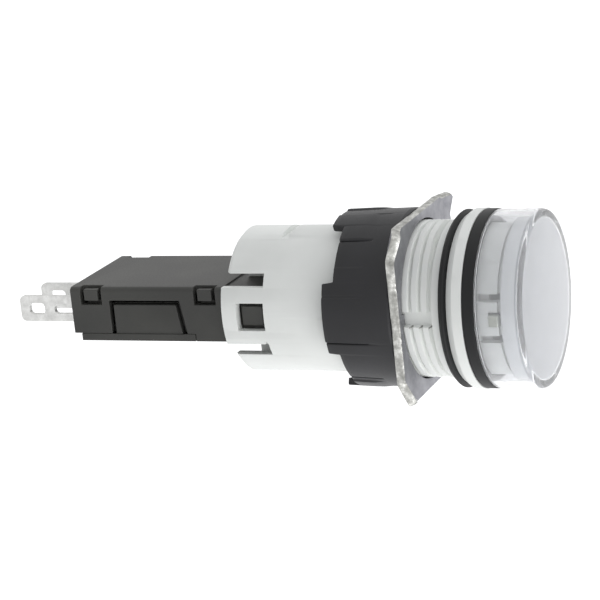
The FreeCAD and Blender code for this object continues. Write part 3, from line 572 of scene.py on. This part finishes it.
def make_nut():
    """Ring nut. The outside is its radius less the mould's draft, which grows towards the rear, plus
    the lands, which fade in from the front, less the fine grooves beside some of them. The rear edge
    steps back between the teeth, behind a wider mouth, and the bore is the thread's own radius plus
    its fit. The moulding is a little eccentric: its outside stands lifted against its bore."""
    turn = turns(NUT_TURNS)[None, :]

    def band(middle, half):
        """1 within half a width of a middle turn, 0 outside, and a short step between them."""
        return 1 - ramp(half - NUT_STEP_HALF, half + NUT_STEP_HALF, apart(turn, middle))

    lands = np.maximum(band(0, SIDE_LAND_HALF), band(np.pi, SIDE_LAND_HALF))
    for middle in (TOP_LAND_PLACE, np.pi - TOP_LAND_PLACE, np.pi + TOP_LAND_PLACE, -TOP_LAND_PLACE):
        lands = np.maximum(lands, band(middle, TOP_LAND_HALF))
    lands = np.maximum(lands, FAINT_LAND_SHARE * band(*FAINT_LAND))
    grooves = sum(np.exp(-(apart(turn, place) / GROOVE_WIDTH) ** 2) for place in GRIP_GROOVES)
    side_teeth = np.maximum(band(0, SIDE_TOOTH_HALF), band(np.pi, SIDE_TOOTH_HALF))
    top_teeth = np.maximum(band(np.pi / 2, TOP_TOOTH_HALF), band(-np.pi / 2, TOP_TOOTH_HALF))
    rear = NUT_REAR - TOOTH_DEPTH * (1 - side_teeth) + (TOOTH_DEPTH + TOP_TOOTH_MORE) * top_teeth
    share = np.concatenate([np.linspace(0, 0.34, 3), np.linspace(0.36, 0.48, 9),
                            np.linspace(0.6, 1, 6)])[:, None]
    front_y = NUT_FRONT + NUT_BEVEL
    y = front_y + (rear - 3 * TOOTH_EDGE - front_y) * share
    fade = ramp(LAND_FRONT - 0.1, LAND_FRONT + LAND_FADE, y - NUT_FRONT)
    fresh = ramp(LAND_FRONT - 0.1, LAND_FRONT + 0.3, y - NUT_FRONT)
    outside = NUT_RADIUS - NUT_DRAFT * share + LAND_RISE * lands * fade - GROOVE_DEPTH * grooves * fresh
    last = outside[-1:]
    inner_y = np.linspace(NUT_REAR - MOUTH_DEPTH, NUT_FRONT + 0.15, BORE_ROWS)[:, None]
    thread = thread_radius(inner_y, turn) + THREAD_FIT
    rings = [
        round_axis(NUT_RADIUS - NUT_BEVEL, NUT_FRONT, turn),
        round_axis(NUT_RADIUS - NUT_BEVEL * 0.35, NUT_FRONT + NUT_BEVEL * 0.35, turn),
        round_axis(outside, y, turn),
        round_axis(last - TOOTH_EDGE, rear - TOOTH_EDGE, turn),
        round_axis(last - 0.14, rear, turn),
        round_axis(NUT_MOUTH + 2 * TOOTH_EDGE, rear, turn),
        round_axis(NUT_MOUTH, rear - 2 * TOOTH_EDGE, turn),
        round_axis(NUT_MOUTH, NUT_REAR - MOUTH_DEPTH + 0 * turn, turn),
        round_axis(thread, inner_y, turn),
        round_axis(THREAD_CREST + 0.2, NUT_FRONT, turn),
    ]
    points = np.concatenate(rings)
    off_bore = np.hypot(points[..., 0], points[..., 2]) > NUT_MOUTH - 0.01
    points[..., 2] += NUT_LIFT * off_bore
    link_piece("ring_nut", grid_mesh("ring_nut", points, sharp_degrees=30), "nut",
               [NUT_BLACK], ["fixing_nut"])


# locking plate

PLATE_THICK = 0.9
PLATE_HOLE = 8.18
FOLD_PLACE = 10.85
FOLD_ANGLES = {(-1, 1): 29.0, (1, 1): 22.0, (-1, -1): 34.0, (1, -1): 34.0}
PLATE_PLAY = math.radians(0.75)
FOLD_HALF = 0.35
TONGUE_FLOOR = 7.42
TONGUE_HALF = 0.63
CORNER_CUT = 0.3
PLATE_TURNS = 960
PLATE_RINGS = 26
RIM_ROWS = 7
RIM_BULGE = 0.1
TEAR_DEPTH = 0.035
RIM_WANDER = 0.04
FOLD_STEPS = np.linspace(-FOLD_HALF, 3.0, 400)


def smooth_noise(rows, columns, reach, seed):
    """Seeded random numbers, averaged over neighbours round the plate, from about -1 to 1."""
    values = np.random.default_rng(seed).standard_normal((rows, columns))
    kernel = np.hanning(2 * reach + 3)[1:-1]
    kernel /= np.sqrt((kernel ** 2).sum())
    spectrum = np.fft.fft(values, axis=1) * np.fft.fft(kernel, columns)[None, :]
    return np.clip(np.fft.ifft(spectrum, axis=1).real / 2, -1, 1)


def folded(flat_x, flat_z, depth):
    """Bend a flat point about the fold line of its corner. Past the line the sheet turns towards the
    panel through an angle that grows from 0 to that corner's own over twice the fold's half width.
    The whole plate sits turned a little in its keyway, within the play of its tongue."""
    flat_x, flat_z, depth = np.broadcast_arrays(flat_x, flat_z, depth)
    along = (np.abs(flat_x) + np.abs(flat_z)) / math.sqrt(2) - FOLD_PLACE
    pace = FOLD_STEPS[1] - FOLD_STEPS[0]
    lean, shift, drop = np.zeros((3, *along.shape))
    for (side_x, side_z), degrees in FOLD_ANGLES.items():
        angle = math.radians(degrees) * ramp(-FOLD_HALF, FOLD_HALF, FOLD_STEPS)
        reach = np.cumsum(np.cos(angle)) * pace - FOLD_HALF
        fall = np.cumsum(np.sin(angle)) * pace
        past = (along > -FOLD_HALF) & (flat_x * side_x > 0) & (flat_z * side_z > 0)
        lean = np.where(past, np.interp(along, FOLD_STEPS, angle), lean)
        shift = np.where(past, np.interp(along, FOLD_STEPS, reach) - along, shift)
        drop = np.where(past, np.interp(along, FOLD_STEPS, fall), drop)
    outwards = (shift - depth * np.sin(lean)) / math.sqrt(2)
    x = flat_x + np.sign(flat_x) * outwards
    z = flat_z + np.sign(flat_z) * outwards
    cosine, sine = math.cos(PLATE_PLAY), math.sin(PLATE_PLAY)
    return np.stack([x * cosine - z * sine, PLATE_REAR - drop - depth * np.cos(lean), z * cosine + x * sine],
                    axis=-1)


def make_plate():
    """Square sheet with a keyed hole and folded corners, as rings from the hole's edge to the rim on
    both faces: radius = inner + (outer - inner) share. The rim is sheared, so it bulges by the root
    of a sine, its rows wander by seeded noise towards the torn side, and it has its own finish."""
    turn = turns(PLATE_TURNS)
    cosine, sine = np.cos(turn), np.sin(turn)
    half = PLATE_HALF - 0.06
    cut = (2 * half - CORNER_CUT) / (np.abs(cosine) + np.abs(sine))
    outer = np.minimum(half / np.maximum(np.abs(cosine), np.abs(sine)), cut)
    in_tongue = (cosine < 0) & (np.abs(PLATE_HOLE * sine) < TONGUE_HALF)
    inner = np.where(in_tongue, TONGUE_FLOOR / np.maximum(np.abs(cosine), 0.1), PLATE_HOLE)
    share = np.linspace(0, 1, PLATE_RINGS)[:, None]
    radius = inner + (outer - RIM_BULGE - inner) * share
    rear_face = folded(radius * cosine, radius * sine, 0.0)
    front_face = folded(radius[::-1] * cosine, radius[::-1] * sine, PLATE_THICK)
    depth = np.linspace(0.06, 0.94, RIM_ROWS)[:, None] * PLATE_THICK
    bulge = RIM_BULGE * np.sin(np.pi * depth / PLATE_THICK) ** 0.5
    torn = ramp(0.3, 0.7, depth / PLATE_THICK)
    rough = smooth_noise(RIM_ROWS, PLATE_TURNS, 3, 11) * TEAR_DEPTH * torn
    rough = rough + smooth_noise(1, PLATE_TURNS, 16, 12) * RIM_WANDER
    rim_radius = outer - RIM_BULGE + np.minimum(bulge + rough, RIM_BULGE)
    rim = folded(rim_radius * cosine, rim_radius * sine, depth)
    points = np.concatenate([rear_face, rim, front_face])
    second = np.zeros((points.shape[0], PLATE_TURNS), dtype=bool)
    second[PLATE_RINGS - 1:PLATE_RINGS + RIM_ROWS] = True
    mesh = grid_mesh("zinc_plate", points, sharp_degrees=40, second=second)
    link_piece("zinc_plate", mesh, "plate", [ZINC, ZINC_RIM], ["locking_plate"])


# light block and tags

SOFTENED_COPIES = {
    "cover_moulding": ("block_cover", "block_plastic", BLOCK_BLACK, 0.09),
    "base_moulding": ("block_base", "block_plastic", BLOCK_BLACK, 0.09),
    "punched_tag_left": ("tag_left", "tinned_brass", TINNED, 0.06),
    "punched_tag_right": ("tag_right", "tinned_brass", TINNED, 0.06),
}


def make_block():
    """The block's two halves and the tags: their own solids, with their moulded or punched edges
    rounded."""
    for name, (node, slot, finish, width) in SOFTENED_COPIES.items():
        piece = link_piece(name, merged_copy(node), "lamp", [finish], [node])
        soften(piece, width)


make_cap()
make_lugs()
make_disc()
make_seals()
make_thread()
make_head()
make_nut()
make_plate()
make_block()


# surroundings: camera, floor, lamps

IMAGE_PIXELS = 600
FOCAL_PIXELS = 2540
SENSOR_MM = 36.0
VIEW_TURN = 22.18
VIEW_ROLL = 16.0
AXIS_TILT = 0.22
CAMERA_BACK = 256.05 * MM
CAMERA_RIGHT = -16.66 * MM
CAMERA_UP = -0.26 * MM
FLOOR_DEPTH = 0.5
FLOOR_HALF = 4.0
FLOOR_GLOW = 0.2
FLOOR_SEEN_MORE = 0.5
WORLD_EVEN = 0.73
WORLD_BRIGHTER = (0.22, -0.24, 0.0)
# each lamp's place in metres, the side of its square and its power in watts
LAMPS = {
    "top_lamp": ((0.05, -0.12, 0.45), 0.6, 0.42),
    "front_lamp": ((-0.1, -0.45, 0.08), 0.4, 0.36),
    "low_lamp": ((-0.06, -0.07, -0.1), 0.15, 0.085),
}


def place_camera():
    """The camera of the photograph: a long lens, turned from the lamp's side towards its cap and
    rolled about the lamp's axis, with the axis tilted a hair in the picture."""
    turn, roll = math.radians(VIEW_TURN), math.radians(VIEW_ROLL)
    right = Vector((math.cos(roll) * math.sin(turn), -math.cos(turn), -math.sin(roll) * math.sin(turn)))
    up = Vector((math.sin(roll), 0, math.cos(roll)))
    back = right.cross(up)
    axes = Matrix((right, up, back)).transposed()
    tilt = Matrix.Rotation(math.radians(AXIS_TILT), 3, "Z")
    camera = bpy.data.objects.new("camera", bpy.data.cameras.new("camera"))
    bpy.context.scene.collection.objects.link(camera)
    place = back * CAMERA_BACK + right * CAMERA_RIGHT + up * CAMERA_UP
    camera.matrix_world = Matrix.Translation(place) @ (axes @ tilt).to_4x4()
    camera.data.sensor_width = SENSOR_MM
    camera.data.lens = FOCAL_PIXELS / IMAGE_PIXELS * SENSOR_MM
    camera.data.clip_start = 0.01
    bpy.context.scene.camera = camera


def seen_directly(tree):
    """1 on what the camera sees straight, through clear plastic or mirrored in gloss, else 0."""
    path = add(tree, "LightPath")
    through = add(tree, "Math", operation="MAXIMUM", inputs={0: path.outputs["Is Transmission Ray"],
                                                            1: path.outputs["Is Glossy Ray"]})
    return add(tree, "Math", operation="MAXIMUM", inputs={0: path.outputs["Is Camera Ray"],
                                                         1: through.outputs[0]})


def make_floor():
    """A wide pale floor well below the lamp, seen white by the camera and in reflections."""
    mesh = bpy.data.meshes.new("floor")
    half = FLOOR_HALF
    mesh.from_pydata([(-half, -half, -FLOOR_DEPTH), (half, -half, -FLOOR_DEPTH),
                      (half, half, -FLOOR_DEPTH), (-half, half, -FLOOR_DEPTH)], [], [(0, 1, 2, 3)])
    floor = bpy.data.objects.new("floor", mesh)
    bpy.context.scene.collection.objects.link(floor)
    material, tree = new_finish("pale_floor")
    seen = seen_directly(tree)
    lift = add(tree, "Math", operation="MULTIPLY_ADD",
               inputs={0: seen.outputs[0], 1: FLOOR_SEEN_MORE, 2: FLOOR_GLOW})
    matt = add(tree, "BsdfDiffuse", inputs={"Color": linear("#EDEDED")})
    glow = add(tree, "Emission", inputs={"Color": linear("#FFFFFF"), "Strength": lift.outputs[0]})
    close_finish(tree, add(tree, "AddShader", inputs={0: matt.outputs[0], 1: glow.outputs[0]}))
    mesh.materials.append(material)


def light_world():
    """Soft light from all round, brighter from the far side and from the cap's side, and a white
    backdrop. The strength is even + (brighter . direction)."""
    world = bpy.data.worlds.new("studio")
    world.use_nodes = True
    bpy.context.scene.world = world
    tree = world.node_tree
    tree.nodes.clear()
    seen = seen_directly(tree)
    towards = add(tree, "TexCoord").outputs["Generated"]
    lean = add(tree, "VectorMath", operation="DOT_PRODUCT", inputs={0: towards, 1: WORLD_BRIGHTER})
    strength = add(tree, "Math", operation="ADD", inputs={0: lean.outputs["Value"], 1: WORLD_EVEN})
    soft = add(tree, "Background", inputs={"Color": linear("#F2F3F5"), "Strength": strength.outputs[0]})
    white = add(tree, "Background", inputs={"Color": linear("#FFFFFF"), "Strength": 1.0})
    mix = add(tree, "MixShader", inputs={0: seen.outputs[0], 1: soft.outputs[0], 2: white.outputs[0]})
    add(tree, "OutputWorld", inputs={"Surface": mix.outputs[0]})


def hang_lamps():
    """Square soft lamps, each facing the frame's origin."""
    for name, (place, side, power) in LAMPS.items():
        lamp = bpy.data.lights.new(name, "AREA")
        lamp.size = side
        lamp.energy = power
        holder = bpy.data.objects.new(name, lamp)
        holder.location = place
        holder.rotation_euler = (-Vector(place)).to_track_quat("-Z", "Y").to_euler()
        bpy.context.scene.collection.objects.link(holder)


place_camera()
make_floor()
light_world()
hang_lamps()
bpy.context.scene.view_settings.view_transform = "Standard"
